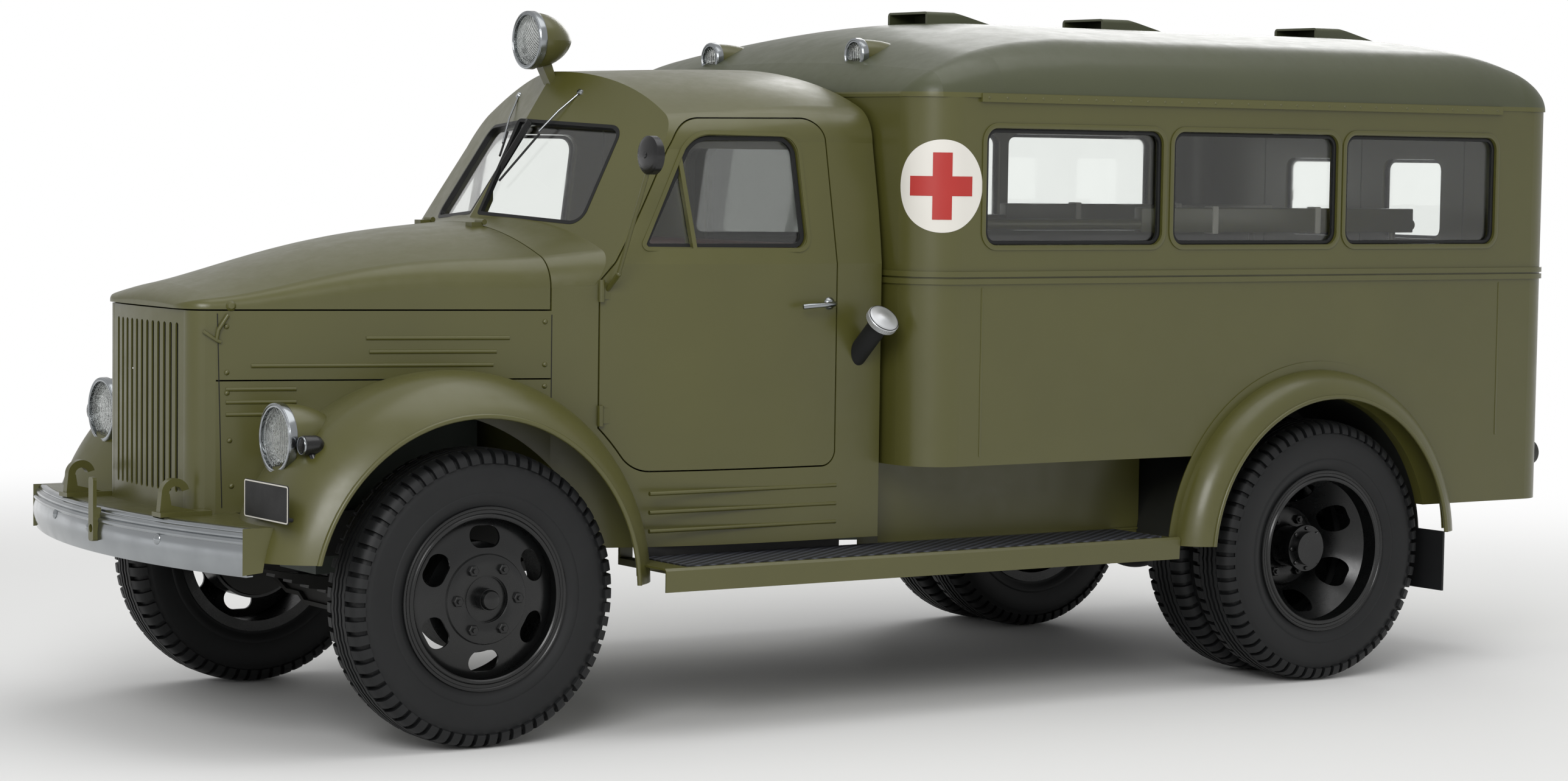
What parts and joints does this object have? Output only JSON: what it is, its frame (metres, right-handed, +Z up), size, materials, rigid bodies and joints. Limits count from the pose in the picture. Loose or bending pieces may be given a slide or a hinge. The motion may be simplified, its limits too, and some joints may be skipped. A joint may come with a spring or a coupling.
{
  "type": "military ambulance truck",
  "caption": "Bonneted military ambulance truck with a windowed van body, twin rear wheels, opening doors and bonnet, and steered front wheels.",
  "frame": {"origin": "middle of the overall length and width, on the ground under the tyres", "axes": "+X forward, +Y to the vehicle's left, +Z up"},
  "size_m": [5.4449, 2.23, 2.3479],
  "materials": {
    "olive_paint": "satin",
    "chassis_paint": "satin",
    "engine_iron": "rough",
    "bright_metal": "polished",
    "clear_glass": "clear",
    "dark_trim": "satin",
    "black_plastic": "gloss",
    "seat_cover": "worn",
    "cushion_cloth": "matt",
    "floor_boards": "matt",
    "flap_rubber": "matt",
    "tyre_rubber": "matt"
  },
  "bodies": {
    "truck": {"frame_rails": "chassis_paint", "crossmembers": "chassis_paint", "leaf_springs": "chassis_paint", "front_axle": "chassis_paint", "rear_axle": "chassis_paint", "driveline": "engine_iron", "exhaust": "chassis_paint", "bumper": "bright_metal", "tow_hooks": "chassis_paint", "front_apron": "olive_paint", "radiator_shell": "olive_paint", "radiator_core": "chassis_paint", "hood_side_panels": "olive_paint", "front_fenders": "olive_paint", "cab_front": "olive_paint", "cab_rear": "olive_paint", "cab_roof": "olive_paint", "cab_floor": "olive_paint", "cab_glass": "clear_glass", "dashboard": "dark_trim", "steering_wheel": "black_plastic", "cab_seat": "seat_cover", "fuel_filler": "olive_paint", "running_boards": "olive_paint", "body_front": "olive_paint", "body_sides": "olive_paint", "body_rear": "olive_paint", "body_floor": "floor_boards", "body_roof": "olive_paint", "body_glass": "clear_glass", "roof_vents": "olive_paint", "stretchers": "cushion_cloth", "rear_fenders": "olive_paint", "mud_flaps": "flap_rubber", "lamp_bowls": "olive_paint", "lamp_rims": "bright_metal", "lamp_lenses": "clear_glass", "small_lamps": "dark_trim"},
    "bonnet": {"hood": "olive_paint"},
    "left_door": {"cab_door_left": "olive_paint", "door_glass_left": "clear_glass", "door_mirror": "chassis_paint"},
    "right_door": {"cab_door_right": "olive_paint", "door_glass_right": "clear_glass"},
    "left_rear_door": {"rear_door_left": "olive_paint", "rear_door_glass_left": "clear_glass"},
    "right_rear_door": {"rear_door_right": "olive_paint", "rear_door_glass_right": "clear_glass"},
    "left_knuckle": {"knuckle_left": "chassis_paint"},
    "right_knuckle": {"knuckle_right": "chassis_paint"},
    "track_rod": {"tie_rod": "chassis_paint"},
    "front_left_wheel": {"tyre_front_left": "tyre_rubber", "wheel_front_left": "chassis_paint"},
    "front_right_wheel": {"tyre_front_right": "tyre_rubber", "wheel_front_right": "chassis_paint"},
    "rear_left_wheels": {"tyres_rear_left": "tyre_rubber", "wheels_rear_left": "chassis_paint"},
    "rear_right_wheels": {"tyres_rear_right": "tyre_rubber", "wheels_rear_right": "chassis_paint"}
  },
  "joints": [
    {"name": "bonnet_lift", "type": "hinge", "parent": "truck", "child": "bonnet", "pos_m": [1.44, 0, 1.601], "axis": [0, -1, 0], "range_deg": [0, 45]},
    {"name": "left_door_swing", "type": "hinge", "parent": "truck", "child": "left_door", "pos_m": [1.295, 0.702, 1.2], "axis": [0, 0, -1], "range_deg": [0, 65]},
    {"name": "right_door_swing", "type": "hinge", "parent": "truck", "child": "right_door", "pos_m": [1.295, -0.702, 1.2], "axis": [0, 0, 1], "range_deg": [0, 65]},
    {"name": "left_rear_door_swing", "type": "hinge", "parent": "truck", "child": "left_rear_door", "pos_m": [-2.652, 0.5625, 1.4], "axis": [0, 0, -1], "range_deg": [0, 100]},
    {"name": "right_rear_door_swing", "type": "hinge", "parent": "truck", "child": "right_rear_door", "pos_m": [-2.652, -0.5625, 1.4], "axis": [0, 0, 1], "range_deg": [0, 100]},
    {"name": "left_steer", "type": "hinge", "parent": "truck", "child": "left_knuckle", "pos_m": [1.8075, 0.66, 0.462], "axis": [0, 0, 1], "range_deg": [-30, 30]},
    {"name": "right_steer", "type": "hinge", "parent": "truck", "child": "right_knuckle", "pos_m": [1.8075, -0.66, 0.462], "axis": [0, 0, 1], "range_deg": [-30, 30]},
    {"name": "track_rod_pivot", "type": "hinge", "parent": "left_knuckle", "child": "track_rod", "pos_m": [1.6575, 0.66, 0.369], "axis": [0, 0, 1], "range_deg": [-30, 30]},
    {"name": "front_left_spin", "type": "hinge", "parent": "left_knuckle", "child": "front_left_wheel", "pos_m": [1.8075, 0.7945, 0.462], "axis": [0, 1, 0], "continuous": true},
    {"name": "front_right_spin", "type": "hinge", "parent": "right_knuckle", "child": "front_right_wheel", "pos_m": [1.8075, -0.7945, 0.462], "axis": [0, 1, 0], "continuous": true},
    {"name": "rear_left_spin", "type": "hinge", "parent": "truck", "child": "rear_left_wheels", "pos_m": [-1.4925, 0.825, 0.462], "axis": [0, 1, 0], "continuous": true},
    {"name": "rear_right_spin", "type": "hinge", "parent": "truck", "child": "rear_right_wheels", "pos_m": [-1.4925, -0.825, 0.462], "axis": [0, 1, 0], "continuous": true}
  ],
  "couplings": [
    {"joint": "right_steer", "follows": "left_steer", "ratio": 1},
    {"joint": "track_rod_pivot", "follows": "left_steer", "ratio": -1}
  ]
}
